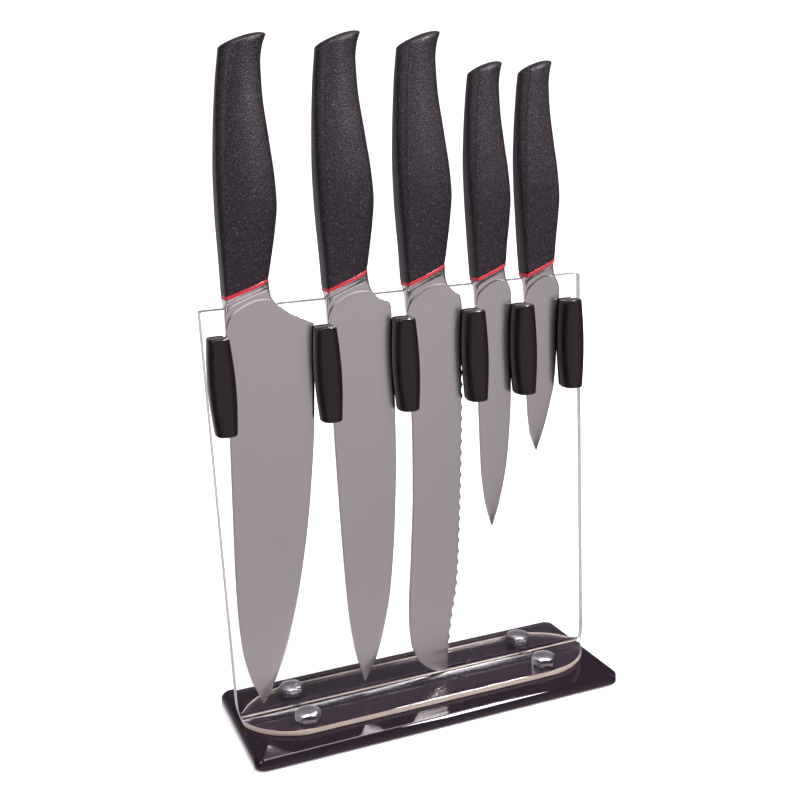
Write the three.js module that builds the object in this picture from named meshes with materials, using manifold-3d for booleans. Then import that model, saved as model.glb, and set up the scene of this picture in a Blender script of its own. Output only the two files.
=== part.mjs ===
// Knife rack: a clear acrylic stand on a black base, six black magnetic bars and five lift-out knives.
// Millimetres, +Z up. The origin is on the supporting surface, under the middle of the base.
// X runs along the row of knives, -Y is the front.

import * as THREE from 'three';
import { mergeVertices } from 'three/addons/utils/BufferGeometryUtils.js';
import Module from 'manifold-3d';

const wasm = await Module();
wasm.setup();

// ---------------------------------------------------------------- driving dimensions

const GAP = 0.2;                      // clearance kept between pieces that seat on each other

const FOOT = { radius: 6, height: 1, inset: 12 };
const BASE = { length: 208, depth: 82, thickness: 6, corner: 6, bevel: 1.5 };
const BASE_TOP = FOOT.height + BASE.thickness;

const PANEL = {
  width: 206,
  top: 225,
  sheet: 3,                           // thickness of each bent sheet
  reach: 27,                          // middle plane to the outer edge of a flange
  bend: 3,                            // radius inside the bend
  footCorner: 35,                     // rounded end corners of the flanges
  topCorner: 1.2,
};
const FLANGE_TOP = BASE_TOP + GAP + PANEL.sheet;
const PANEL_FACE = GAP / 2 + PANEL.sheet;   // distance of the outer faces from the middle plane

const BOLT = { x: 69.3, y: 16.7, acrossFlats: 12, head: 5.2, shank: 2.9, length: 7.4 };
const BOLT_HOLE = 3.3;
const INSERT = { radius: 4.6, bore: 3.3, height: 5 };  // pressed into the base from below

// A bar is a barrel with a slot on each side that takes the side of a blade. Its middle plane, half
// depth and half widths are of the whole barrel; the slot lies between two planes parallel to the panel.
const BAR = {
  bottom: 165.6, top: 213, middleY: 9.9, halfDepth: 6.6, endHalfWidth: 5.3, midHalfWidth: 6.7,
  endRound: 1, sectionPower: 2.8, slotBack: 4.8, slotFront: 8.1,
};
const BAR_CENTRES = [-97.2, -44.0, -2.5, 36.1, 64.3, 92.5];
const WEB = { width: 3.0, inset: 2 };
const MAGNET = { width: 1.6, depth: 3.0, height: 40 };

const BLADE_Y = -6.4;                 // middle plane of every blade, in front of the panel
const TANG = { width: 9, thickness: 3, clearance: 0.3 };
const RING_HEIGHT = 1.6;

// ---------------------------------------------------------------- mesh helpers

// A closed solid through rings of points, all with the same count, capped by fans at both ends.
function stack(rings) {
  const count = rings[0].length;
  const positions = rings.flat().flatMap((p) => [p.x, p.y, p.z]);
  const index = [];
  for (let k = 0; k + 1 < rings.length; k++) {
    for (let i = 0; i < count; i++) {
      const a = k * count + i;
      const b = k * count + ((i + 1) % count);
      index.push(a, b, b + count, a, b + count, a + count);
    }
  }
  const last = (rings.length - 1) * count;
  for (let i = 1; i + 1 < count; i++) {
    index.push(0, i + 1, i);
    index.push(last, last + i, last + i + 1);
  }
  const geometry = new THREE.BufferGeometry();
  geometry.setAttribute('position', new THREE.Float32BufferAttribute(positions, 3));
  geometry.setIndex(index);
  return facingOut(geometry);
}

// Signed volume tells which way the faces point; a negative one is turned round.
function facingOut(geometry) {
  const p = geometry.attributes.position;
  const index = geometry.index.array;
  const [a, b, c] = [new THREE.Vector3(), new THREE.Vector3(), new THREE.Vector3()];
  let volume = 0;
  for (let i = 0; i < index.length; i += 3) {
    a.fromBufferAttribute(p, index[i]);
    b.fromBufferAttribute(p, index[i + 1]);
    c.fromBufferAttribute(p, index[i + 2]);
    volume += a.dot(b.cross(c));
  }
  if (volume < 0) {
    for (let i = 0; i < index.length; i += 3) {
      [index[i + 1], index[i + 2]] = [index[i + 2], index[i + 1]];
    }
  }
  return geometry;
}

function toSolid(geometry) {
  const bare = geometry.clone();
  bare.deleteAttribute('normal');
  bare.deleteAttribute('uv');
  const merged = mergeVertices(bare, 1e-5);
  return new wasm.Manifold(new wasm.Mesh({
    numProp: 3,
    vertProperties: new Float32Array(merged.attributes.position.array),
    triVerts: new Uint32Array(merged.index.array),
  }));
}

function toGeometry(solid) {
  const mesh = solid.getMesh();
  const geometry = new THREE.BufferGeometry();
  geometry.setAttribute('position', new THREE.BufferAttribute(mesh.vertProperties, 3));
  geometry.setIndex(new THREE.BufferAttribute(mesh.triVerts, 1));
  return geometry;
}

function box(width, depth, height, x, y, z) {
  return new THREE.BoxGeometry(width, depth, height).translate(x, y, z);
}

// An upright cylinder from z = bottom to z = top.
function post(radius, bottom, top, x, y, sides = 20) {
  const geometry = new THREE.CylinderGeometry(radius, radius, top - bottom, sides);
  return geometry.rotateX(Math.PI / 2).translate(x, y, (top + bottom) / 2);
}

function cut(geometry, ...tools) {
  const solid = tools.reduce((left, tool) => left.subtract(toSolid(tool)), toSolid(geometry));
  return toGeometry(solid);
}

const root = new THREE.Group();

function add(parent, name, geometry, material) {
  const mesh = new THREE.Mesh(geometry, material);
  mesh.name = name;
  parent.add(mesh);
  return mesh;
}

const material = (color, roughness, metalness = 0) =>
  new THREE.MeshStandardMaterial({ color, roughness, metalness });

const MATERIALS = {
  base: material(0x17121a, 0.08),
  acrylic: material(0xdcd4dc, 0.05),
  chrome: material(0xd8d8de, 0.1, 1),
  brass: material(0xb08d4a, 0.35, 1),
  rubber: material(0x1c1c1c, 0.85),
  bar: material(0x141116, 0.2),
  magnet: material(0x5b5b60, 0.4, 1),
  steel: material(0xa39a98, 0.32, 1),
  handle: material(0x2c2530, 0.6),
  ring: material(0xd8303a, 0.4),
};

const CORNERS = [
  ['front_left', -1, -1],
  ['front_right', 1, -1],
  ['rear_left', -1, 1],
  ['rear_right', 1, 1],
];

// ---------------------------------------------------------------- base, feet and inserts

function roundedRectangle(length, depth, radius, z, steps = 6) {
  const ring = [];
  [[1, 1, 0], [-1, 1, 90], [-1, -1, 180], [1, -1, 270]].forEach(([sx, sy, start]) => {
    for (let i = 0; i <= steps; i++) {
      const angle = THREE.MathUtils.degToRad(start + (90 * i) / steps);
      ring.push(new THREE.Vector3(
        sx * (length / 2 - radius) + radius * Math.cos(angle),
        sy * (depth / 2 - radius) + radius * Math.sin(angle),
        z,
      ));
    }
  });
  return ring;
}

function basePlate() {
  const { length, depth, corner, bevel } = BASE;
  const inner = 2 * bevel;
  const plate = stack([
    roundedRectangle(length, depth, corner, FOOT.height),
    roundedRectangle(length, depth, corner, BASE_TOP - bevel),
    roundedRectangle(length - inner, depth - inner, corner - bevel, BASE_TOP),
  ]);
  const pocketTop = FOOT.height + INSERT.height + GAP;
  const pockets = CORNERS.flatMap(([, sx, sy]) => [
    post(INSERT.radius + GAP, FOOT.height - 1, pocketTop, sx * BOLT.x, sy * BOLT.y),
    post(BOLT.shank + GAP, FOOT.height, BASE_TOP + 1, sx * BOLT.x, sy * BOLT.y),
  ]);
  return cut(plate, ...pockets);
}

function threadedInsert(x, y) {
  const bottom = FOOT.height;
  const top = bottom + INSERT.height;
  return cut(
    post(INSERT.radius, bottom, top, x, y),
    post(INSERT.bore, bottom - 1, top + 1, x, y),
  );
}

function foot(sx, sy) {
  const x = sx * (BASE.length / 2 - FOOT.inset);
  const y = sy * (BASE.depth / 2 - FOOT.inset);
  return post(FOOT.radius, 0, FOOT.height - GAP / 2, x, y);
}

add(root, 'base_plate', basePlate(), MATERIALS.base);
for (const [corner, sx, sy] of CORNERS) {
  add(root, `foot_${corner}`, foot(sx, sy), MATERIALS.rubber);
  add(root, `threaded_insert_${corner}`, threadedInsert(sx * BOLT.x, sy * BOLT.y), MATERIALS.brass);
}

// ---------------------------------------------------------------- bent acrylic sheets

// How far a rounded corner pulls the outline in, at a given distance from the end of the sheet.
function cornerInset(distance, radius) {
  if (distance >= radius) return 0;
  return radius - Math.sqrt(radius ** 2 - (radius - distance) ** 2);
}

// One sheet as stations along its length: flange edge, bend, then up to the top edge. Each station
// has a point on the visible face, a point on the hidden face and the half width there.
function sheetStations() {
  const { reach, bend, sheet, top, footCorner, topCorner } = PANEL;
  const bendY = PANEL_FACE + bend;
  const bendZ = FLANGE_TOP + bend;
  const flat = reach - bendY;
  const arc = (Math.PI / 2) * (bend + sheet / 2);
  const rise = top - bendZ;
  const stations = [];
  const halfWidth = (along) => PANEL.width / 2
    - cornerInset(along, footCorner)
    - cornerInset(flat + arc + rise - along, topCorner);
  const flatSteps = 11;
  for (let i = 0; i < flatSteps; i++) {
    const along = flat * (i / flatSteps) ** 1.6;
    stations.push([reach - along, FLANGE_TOP, reach - along, FLANGE_TOP - sheet, halfWidth(along)]);
  }
  const bendSteps = 6;
  for (let i = 0; i <= bendSteps; i++) {
    const angle = (Math.PI / 2) * (i / bendSteps);
    const [dy, dz] = [Math.sin(angle), Math.cos(angle)];
    stations.push([
      bendY - bend * dy, bendZ - bend * dz,
      bendY - (bend + sheet) * dy, bendZ - (bend + sheet) * dz,
      halfWidth(flat + arc * (i / bendSteps)),
    ]);
  }
  const upright = footCorner - flat - arc;
  const cornerEnd = [1, 3, 5, 7, upright];              // heights above the bend
  const risesTo = [...cornerEnd, rise - topCorner, rise - topCorner / 3, rise];
  for (const up of risesTo) {
    stations.push([PANEL_FACE, bendZ + up, GAP / 2, bendZ + up, halfWidth(flat + arc + up)]);
  }
  return stations;
}

function bentSheet(side) {
  const rings = sheetStations().map(([y1, z1, y2, z2, half]) => [
    new THREE.Vector3(-half, side * y1, z1),
    new THREE.Vector3(half, side * y1, z1),
    new THREE.Vector3(half, side * y2, z2),
    new THREE.Vector3(-half, side * y2, z2),
  ]);
  const holes = [-1, 1].map((sx) =>
    post(BOLT_HOLE, BASE_TOP - 1, FLANGE_TOP + 1, sx * BOLT.x, side * BOLT.y));
  return cut(stack(rings), ...holes);
}

add(root, 'front_panel', bentSheet(-1), MATERIALS.acrylic);
add(root, 'rear_panel', bentSheet(1), MATERIALS.acrylic);

// ---------------------------------------------------------------- hex bolts

function hexBolt(x, y) {
  const seat = FLANGE_TOP + GAP;
  const radius = BOLT.acrossFlats / Math.sqrt(3);
  const hexagon = new THREE.CylinderGeometry(radius, radius, BOLT.head, 6)
    .rotateX(Math.PI / 2)
    .translate(0, 0, BOLT.head / 2);
  const crown = new THREE.LatheGeometry([
    new THREE.Vector2(0, 0),
    new THREE.Vector2(radius + 0.5, 0),
    new THREE.Vector2(radius + 0.5, BOLT.head - 1.1),
    new THREE.Vector2(radius * 0.82, BOLT.head - 0.25),
    new THREE.Vector2(radius * 0.5, BOLT.head),
    new THREE.Vector2(0, BOLT.head),
  ], 24).rotateX(Math.PI / 2);
  const shank = post(BOLT.shank, -BOLT.length, 0.5, 0, 0, 16);
  const bolt = toSolid(hexagon).intersect(toSolid(facingOut(indexed(crown)))).add(toSolid(shank));
  return toGeometry(bolt).translate(x, y, seat);
}

function indexed(geometry) {
  geometry.deleteAttribute('normal');
  geometry.deleteAttribute('uv');
  return mergeVertices(geometry, 1e-5);
}

for (const [corner, sx, sy] of CORNERS) {
  add(root, `bolt_${corner}`, hexBolt(sx * BOLT.x, sy * BOLT.y), MATERIALS.chrome);
}

// ---------------------------------------------------------------- magnetic bars

const BAR_HEIGHT = BAR.top - BAR.bottom;
const BAR_MIDDLE = (BAR.bottom + BAR.top) / 2;
const WEB_FRONT = BAR.slotFront - GAP;

// The whole barrel: wider at mid height, with rounded rims at both ends.
function barrel(x) {
  const rimSteps = [[0, 1], [0.35, 0.35], [1, 0]];      // [height, inset], both in units of the rounding
  const bellySteps = [0.2, 0.4, 0.6, 0.8];
  const levels = [
    ...rimSteps.map(([up, inset]) => [up * BAR.endRound, inset * BAR.endRound]),
    ...bellySteps.map((t) => [t * BAR_HEIGHT, 0]),
    ...rimSteps.map(([up, inset]) => [BAR_HEIGHT - up * BAR.endRound, inset * BAR.endRound]).reverse(),
  ];
  const sides = 28;
  const rings = levels.map(([up, inset]) => {
    const belly = Math.sin((Math.PI * up) / BAR_HEIGHT);
    const halfWidth = BAR.endHalfWidth + (BAR.midHalfWidth - BAR.endHalfWidth) * belly - inset;
    const halfDepth = BAR.halfDepth - inset / 2;
    return Array.from({ length: sides }, (_, i) => {
      const angle = (2 * Math.PI * i) / sides;
      const along = (v) => Math.sign(v) * Math.abs(v) ** (2 / BAR.sectionPower);
      return new THREE.Vector3(
        x + halfWidth * along(Math.cos(angle)),
        -BAR.middleY + halfDepth * along(Math.sin(angle)),
        BAR.bottom + up,
      );
    });
  });
  return stack(rings);
}

// A block across a bar, between two distances in front of the panel's middle plane.
function slab(x, width, height, near, far) {
  return box(width, far - near, height, x, -(near + far) / 2, BAR_MIDDLE);
}

function barCore(x) {
  const reach = 2 * BAR.halfDepth + BAR.middleY;
  const inFront = slab(x, 3 * BAR.midHalfWidth, 2 * BAR_HEIGHT, BAR.slotBack, reach);
  const web = slab(x, WEB.width, BAR_HEIGHT - 2 * WEB.inset, BAR.slotBack - 1, WEB_FRONT);
  const pocket = slab(
    x, MAGNET.width + 2 * GAP, MAGNET.height + 2 * GAP, WEB_FRONT - MAGNET.depth - GAP, WEB_FRONT + 1,
  );
  const body = toSolid(barrel(x)).subtract(toSolid(inFront)).add(toSolid(web));
  return toGeometry(body.subtract(toSolid(pocket)));
}

function barMagnet(x) {
  return slab(x, MAGNET.width, MAGNET.height, WEB_FRONT - MAGNET.depth, WEB_FRONT);
}

function barCover(x) {
  return cut(barrel(x), slab(x, 3 * BAR.midHalfWidth, 2 * BAR_HEIGHT, 0, BAR.slotFront));
}

BAR_CENTRES.forEach((x, i) => {
  add(root, `bar_core_${i + 1}`, barCore(x), MATERIALS.bar);
  add(root, `bar_magnet_${i + 1}`, barMagnet(x), MATERIALS.magnet);
  add(root, `bar_cover_${i + 1}`, barCover(x), MATERIALS.bar);
});

// ---------------------------------------------------------------- knives

// A knife is drawn hanging: tip down, spine on the left, cutting edge on the right. Its own origin
// is where the red ring meets the spine side of the handle. Outlines are [x, z] points, tip first.

const LARGE_HANDLE = {
  spineSide: [[0.5, 0.6], [0, 15], [-1, 39], [-1.2, 55], [-0.6, 73], [1, 95], [3, 111]],
  edgeSide: [[22.7, 8.6], [24.6, 19], [26.6, 31], [27.8, 43], [27.2, 54], [25, 72], [22.4, 94],
    [22.1, 106], [23.1, 113], [25, 118]],
  halfThickness: [6.6, 7.4, 8.2, 8.6, 8.2, 7.6, 7.2, 7.4],
  tangLength: 84,
};

const SMALL_HANDLE = {
  spineSide: [[0.5, 0.6], [-0.6, 18], [-1.7, 42], [-2.1, 57], [-1.6, 72], [0, 92], [0.9, 99]],
  edgeSide: [[18.8, 7.5], [19.6, 16], [21.2, 29], [22, 39], [21, 53], [19.2, 66], [17.2, 84],
    [16.9, 94], [17.6, 100], [18.8, 104.5]],
  halfThickness: [5.8, 6.4, 7.1, 7.5, 7.2, 6.8, 6.5, 6.6],
  tangLength: 72,
};

const KNIVES = [
  {
    name: 'chef', x: -92.6, z: 231.3, tilt: 2.9, handle: LARGE_HANDLE, thickness: 2.4,
    plunge: [-10.6, -2.6],
    spine: [[13.7, -212], [10.5, -205], [7.1, -196.5], [3.6, -181], [1.8, -158], [1.2, -128],
      [1.2, -60], [1.2, -12], [0.8, -1]],
    edge: [[14, -212], [17.6, -205.5], [20.5, -199], [27.1, -181], [35.5, -145], [41.3, -104],
      [44.4, -62], [45.2, -15], [39, -11.6], [32.6, -8.4], [27.2, -4.6], [24, -0.5], [22.6, 7.5]],
  },
  {
    name: 'slicer', x: -42.3, z: 230.3, tilt: 0.5, handle: LARGE_HANDLE, thickness: 2.2,
    plunge: [-10, -3.6],
    spine: [[10.5, -211.3], [8.4, -203], [5.7, -191], [3.6, -170], [2.4, -140], [1.6, -100],
      [1.2, -60], [1.2, -12], [0.8, -1]],
    edge: [[10.9, -211.3], [14.6, -205.5], [18.2, -198], [23.2, -182], [27.6, -162], [32, -123],
      [34.4, -82], [34.9, -50], [35, -12.5], [34.2, -9.4], [28, -6], [24.6, -1.5], [22.6, 7.5]],
  },
  {
    name: 'bread', x: -0.6, z: 229.3, tilt: 0, handle: LARGE_HANDLE, thickness: 2.2,
    plunge: [-10.3, -3], scallop: { pitch: 6.1, depth: 1, from: -208, to: -17 },
    spine: [[13.1, -215.2], [8.6, -213.8], [4.2, -211.4], [0.6, -208], [-2.6, -203],
      [-5, -195], [-5.7, -184], [-2.6, -143], [0, -110], [1.4, -66], [1.2, -12], [0.8, -1]],
    edge: [[15, -215.2], [16.4, -208], [17.7, -198], [20.2, -183], [23.7, -165], [26.7, -131],
      [29, -97], [30.6, -66], [32, -14.7], [31.2, -9], [27, -5.6], [24, -1.5], [22.6, 7.5]],
  },
  {
    name: 'utility', x: 37.6, z: 228.2, tilt: 0.4, handle: SMALL_HANDLE, thickness: 1.8,
    plunge: [-9, -3],
    spine: [[7.9, -135.2], [6, -128], [4.1, -119], [2.4, -100], [1.8, -65], [1.3, -9], [0.7, -1]],
    edge: [[8.2, -135.2], [11, -128], [13.3, -120.6], [16.6, -107], [18.5, -95.4], [21, -66],
      [22.2, -9], [21.3, -5.4], [19.4, -1.5], [18.3, 6.5]],
  },
  {
    name: 'paring', x: 66.1, z: 227.8, tilt: 0, handle: SMALL_HANDLE, thickness: 1.8,
    plunge: [-9, -3],
    spine: [[6.5, -96.3], [5, -92], [3.2, -86], [1.8, -72], [1.4, -50], [1.3, -9], [0.7, -1]],
    edge: [[6.8, -96.3], [9.4, -90], [12.1, -82.7], [15.6, -71], [18.2, -60.7], [21, -30],
      [22.2, -9], [21.3, -5.4], [19.4, -1.5], [18.3, 6.5]],
  },
];

// Smooth x on an outline at height z, between points sorted by height, without overshoot.
function outlineAt(points, z) {
  const last = points.length - 1;
  if (z <= points[0][1]) return points[0][0];
  if (z >= points[last][1]) return points[last][0];
  const i = points.findIndex((p, k) => k < last && z <= points[k + 1][1]);
  const slope = (k) => (points[k + 1][0] - points[k][0]) / (points[k + 1][1] - points[k][1]);
  const tangent = (k) => {
    if (k === 0) return slope(0);
    if (k === last) return slope(last - 1);
    const [before, after] = [slope(k - 1), slope(k)];
    return before * after <= 0 ? 0 : (2 * before * after) / (before + after);
  };
  const span = points[i + 1][1] - points[i][1];
  const t = (z - points[i][1]) / span;
  const [m0, m1] = [tangent(i) * span, tangent(i + 1) * span];
  const [t2, t3] = [t * t, t * t * t];
  return (2 * t3 - 3 * t2 + 1) * points[i][0] + (t3 - 2 * t2 + t) * m0
    + (3 * t2 - 2 * t3) * points[i + 1][0] + (t3 - t2) * m1;
}

// A closed ring across a knife: from the spine-side point to the edge-side point and back, with
// half(u) giving the half thickness at the fraction u of the way across.
function crossRing([xl, zl], [xr, zr], half, steps) {
  const side = (k, sign) => {
    const u = 0.5 - 0.5 * Math.cos((Math.PI * k) / steps);
    const y = k === 0 || k === steps ? 0 : sign * half(u);
    return new THREE.Vector3(xl + (xr - xl) * u, y, zl + (zr - zl) * u);
  };
  const ring = [];
  for (let k = 0; k <= steps; k++) ring.push(side(k, -1));
  for (let k = steps - 1; k > 0; k--) ring.push(side(k, 1));
  return ring;
}

// Section of handle, ring and bolster: the share of the half thickness at the fraction u of the way
// across. At t = 0, by the ring, it is squarish; towards the butt a facet runs from the spine to a ridge.
function section(t) {
  const { lerp } = THREE.MathUtils;
  const [spine, ridge, power] = [lerp(0.78, 0.34, t), lerp(0.05, 0.25, t), lerp(3, 2.2, t)];
  return (u) => {
    const v = Math.max(0, (u - ridge) / (1 - ridge));
    const crown = lerp(0.04, 0.1, t) * Math.sin((Math.PI / 2) * Math.min(1, v * 2.2));
    const body = (lerp(0.96, 0.9, t) + crown) * (1 - v ** power) ** (1 / power);
    return Math.min(spine + ((1.02 - spine) * u) / ridge, body);
  };
}

function edgeAt(knife, z) {
  const x = outlineAt(knife.edge, z);
  const { scallop } = knife;
  if (!scallop || z < scallop.from || z > scallop.to) return x;
  const phase = ((z - scallop.from) / scallop.pitch) * Math.PI;
  return x - scallop.depth * Math.abs(Math.sin(phase));
}

// Heights of the blade's cross sections from the tip up to where they start to slant.
function bladeHeights(knife, slantFrom) {
  const tip = knife.edge[0][1];
  const heights = [tip, tip + 0.6, tip + 1.6, tip + 3];
  const step = knife.scallop ? knife.scallop.pitch / 3 : 8;
  for (let z = knife.scallop ? knife.scallop.from : tip + 6; z < slantFrom - 1; z += step) {
    heights.push(z);
  }
  return heights;
}

function bladeGeometry(knife) {
  const steps = 5;
  const half = knife.thickness / 2;
  const handle = knife.handle;
  const heel = knife.edge.find(([, z]) => z > -20)[1];
  const slantFrom = heel - 8;
  const [plungeSpine, plungeEdge] = knife.plunge;
  const grind = (u) => 1 - 0.9 * u ** 1.5;            // thinner towards the edge
  const wedge = (width) => (u) => Math.min(half, width * 0.3) * grind(u);
  const rings = bladeHeights(knife, slantFrom).map((z) => {
    const [left, right] = [outlineAt(knife.spine, z), edgeAt(knife, z)];
    return crossRing([left, z], [right, z], wedge(right - left), steps);
  });
  // Sections turn from level to the slant of the ring while the edge side runs up the heel.
  const across = (zl, zr, profile) => crossRing(
    [outlineAt(knife.spine, zl), zl], [edgeAt(knife, zr), zr], profile, steps,
  );
  const heelHeights = knife.edge.map(([, z]) => z).filter((z) => z > slantFrom && z < plungeEdge);
  for (const zr of [slantFrom, ...heelHeights]) {
    const t = (zr - slantFrom) / (plungeEdge - slantFrom);
    rings.push(across(slantFrom + t * (plungeSpine - slantFrom), zr, (u) => half * grind(u)));
  }
  // The bolster swells from the blade to just inside the handle's own section.
  const ringBottom = [handle.spineSide[0][1] - RING_HEIGHT - 2 * GAP,
    handle.edgeSide[0][1] - RING_HEIGHT - 2 * GAP];
  const full = handle.halfThickness[0] - 0.6;
  const bolsterSteps = 5;
  for (let i = 0; i <= bolsterSteps; i++) {
    const t = i / bolsterSteps;
    const fillet = 1 - (1 - Math.min(1, t / 0.3)) ** 2;
    const swell = 0.12 * fillet + 0.88 * t ** 2.4;
    rings.push(across(
      plungeSpine + t * (ringBottom[0] - plungeSpine),
      plungeEdge + t * (ringBottom[1] - plungeEdge),
      (u) => (1 - swell) * half * grind(u) + swell * full * section(0)(u),
    ));
  }
  const tang = tangBox(knife, 0);
  return toGeometry(toSolid(stack(rings)).add(toSolid(tang)));
}

function tangBox({ handle }, clearance) {
  const middle = (handle.spineSide[0][0] + handle.edgeSide[0][0]) / 2;
  const bottom = -clearance;
  const top = handle.tangLength + clearance;
  return box(
    TANG.width + 2 * clearance, TANG.thickness + 2 * clearance, top - bottom,
    middle, 0, (top + bottom) / 2,
  );
}

function ringGeometry(knife) {
  const { handle } = knife;
  const [spineEnd, edgeEnd] = [handle.spineSide[0], handle.edgeSide[0]];
  const profile = (u) => (handle.halfThickness[0] - 0.2) * section(0)(u);
  const level = (drop) => crossRing(
    [spineEnd[0], spineEnd[1] - drop], [edgeEnd[0], edgeEnd[1] - drop], profile, 8,
  );
  return cut(stack([level(GAP + RING_HEIGHT), level(GAP)]), tangBox(knife, TANG.clearance));
}

const BUTT_DOME = [[0.9, 1], [0.6, 1.9], [0.3, 2.3]];   // [size of the ring, its height above the butt]

function handleGeometry(knife) {
  const { handle } = knife;
  const steps = 8;
  const levels = 13;
  const climb = (points, t) => points[0][1] + t * (points[points.length - 1][1] - points[0][1]);
  const thicknessAt = (t) => {
    const pairs = handle.halfThickness.map((h, i) => [h, i / (handle.halfThickness.length - 1)]);
    return outlineAt(pairs, t);
  };
  const rings = [];
  for (let i = 0; i <= levels; i++) {
    const t = i / levels;
    const [zl, zr] = [climb(handle.spineSide, t), climb(handle.edgeSide, t)];
    rings.push(crossRing(
      [outlineAt(handle.spineSide, zl), zl], [outlineAt(handle.edgeSide, zr), zr],
      (u) => thicknessAt(t) * section(t)(u), steps,
    ));
  }
  // A low dome closes the butt.
  const butt = rings[rings.length - 1];
  const centre = butt.reduce((sum, p) => sum.add(p), new THREE.Vector3()).divideScalar(butt.length);
  for (const [scale, lift] of BUTT_DOME) {
    rings.push(butt.map((p) => p.clone().sub(centre).multiplyScalar(scale).add(centre)
      .add(new THREE.Vector3(-0.28 * lift, 0, lift))));
  }
  return cut(stack(rings), tangBox(knife, TANG.clearance));
}

for (const knife of KNIVES) {
  const group = new THREE.Group();
  group.position.set(knife.x, BLADE_Y, knife.z);
  group.rotation.y = THREE.MathUtils.degToRad(knife.tilt);
  add(group, `${knife.name}_blade`, bladeGeometry(knife), MATERIALS.steel);
  add(group, `${knife.name}_ring`, ringGeometry(knife), MATERIALS.ring);
  add(group, `${knife.name}_handle`, handleGeometry(knife), MATERIALS.handle);
  root.add(group);
}

export default root;
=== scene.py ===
# Look of the knife stand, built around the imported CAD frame. Shapes are worked out in millimetres and
# scaled to metres when a mesh is made. +X runs along the knives, -Y is the front, +Z is up.

import math

import bmesh
import bpy
from mathutils import Matrix, Vector


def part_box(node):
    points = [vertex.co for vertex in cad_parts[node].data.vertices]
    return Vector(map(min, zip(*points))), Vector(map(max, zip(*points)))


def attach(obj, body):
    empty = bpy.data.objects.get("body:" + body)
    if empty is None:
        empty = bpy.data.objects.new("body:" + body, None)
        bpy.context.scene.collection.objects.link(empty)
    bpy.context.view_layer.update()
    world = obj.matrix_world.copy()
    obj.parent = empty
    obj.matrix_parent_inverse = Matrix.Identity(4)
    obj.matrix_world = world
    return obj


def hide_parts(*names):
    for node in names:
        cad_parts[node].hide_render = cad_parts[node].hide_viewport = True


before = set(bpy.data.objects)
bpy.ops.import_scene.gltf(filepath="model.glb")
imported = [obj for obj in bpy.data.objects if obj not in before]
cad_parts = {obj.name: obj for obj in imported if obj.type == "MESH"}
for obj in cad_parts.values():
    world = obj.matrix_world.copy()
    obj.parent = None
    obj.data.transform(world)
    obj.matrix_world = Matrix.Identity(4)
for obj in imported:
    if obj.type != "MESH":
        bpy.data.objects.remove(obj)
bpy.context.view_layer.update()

MM = 0.001


# ---------------------------------------------------------------- camera, light, floor and backdrop

CAMERA_PLACE = Vector((-0.2024, -0.5127, 0.2955))
CAMERA_AZIMUTH = 20.33          # degrees, turned from +Y towards +X
CAMERA_DROP = 14.67             # degrees below the horizon
CAMERA_ROLL = -3.13
CAMERA_LENS = 48.99             # mm on a 36 mm sensor
CAMERA_SHIFT = (0.0197, 0.041)

# [height of the direction, from straight down to straight up, brightness there]
WORLD_LEVELS = [
    (-1, 0.8), (-0.62, 0.75), (-0.42, 0.36), (-0.18, 0.5), (0.1, 0.36), (0.45, 0.11), (1, 0.4),
]
SIDE_LIGHT = 0.25                   # share of the brightness left out to the sides
BACK_LIGHT = 0.45                   # added low down behind the stand, where the white backdrop is
SIDE_FADE = (0.5, 0.9)              # how far sideways a direction leans where the light fades
BEHIND_FADE = (0.6, 0.85)           # how far back it leans where the light behind comes in
LOW_FADE = (0.27, 0.13)             # and how high it points where that light is gone, then full
FLOOR_GLOW_NEAR, FLOOR_GLOW_FAR = 0.3, 1.3
FLOOR_HALF = 4                      # metres
BACKDROP_RADIUS = 6                 # metres
BACKDROP_GLOW = 1.3

# name, place, target, size and power, in metres and watts
SOFTBOXES = [
    ("overhead", (0.1, -0.35, 1.5), (0, 0, 0.1), (1.2, 0.8), 24),
    ("left", (-1.3, -0.7, 0.9), (0, 0, 0.15), (0.6, 1.2), 9),
    ("right", (1.4, -0.5, 0.8), (0, 0, 0.15), (0.5, 1.2), 3),
    ("key", (0.3, -0.42, 0.62), (0, 0, 0.36), (0.16, 0.16), 6),
]


def link(obj):
    bpy.context.scene.collection.objects.link(obj)
    return obj


def add_camera():
    azimuth, drop, roll = (math.radians(v) for v in (CAMERA_AZIMUTH, CAMERA_DROP, CAMERA_ROLL))
    ahead = Vector((
        math.sin(azimuth) * math.cos(drop),
        math.cos(azimuth) * math.cos(drop),
        -math.sin(drop),
    ))
    level = Vector((math.cos(azimuth), -math.sin(azimuth), 0))
    upright = level.cross(ahead)
    right = math.cos(roll) * level + math.sin(roll) * upright
    up = -math.sin(roll) * level + math.cos(roll) * upright
    data = bpy.data.cameras.new("camera")
    data.lens = CAMERA_LENS
    data.sensor_width = 36
    data.shift_x, data.shift_y = CAMERA_SHIFT
    data.clip_start, data.clip_end = 0.01, 50
    camera = bpy.data.objects.new("camera", data)
    turn = Matrix((right, up, -ahead)).transposed().to_4x4()
    camera.matrix_world = Matrix.Translation(CAMERA_PLACE) @ turn
    link(camera)
    bpy.context.scene.camera = camera


def add_softbox(name, place, target, size, power):
    data = bpy.data.lights.new(name, "AREA")
    data.shape = "RECTANGLE"
    data.size, data.size_y = size
    data.energy = power
    light = bpy.data.objects.new(name, data)
    light.location = place
    direction = Vector(target) - Vector(place)
    light.rotation_euler = direction.to_track_quat("-Z", "Y").to_euler()
    link(light)


def map_range(tree, source, from_range, to_range=(0, 1), kind="LINEAR"):
    node = tree.nodes.new("ShaderNodeMapRange")
    node.interpolation_type = kind
    node.inputs["From Min"].default_value, node.inputs["From Max"].default_value = from_range
    node.inputs["To Min"].default_value, node.inputs["To Max"].default_value = to_range
    tree.links.new(source, node.inputs["Value"])
    return node.outputs["Result"]


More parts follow.
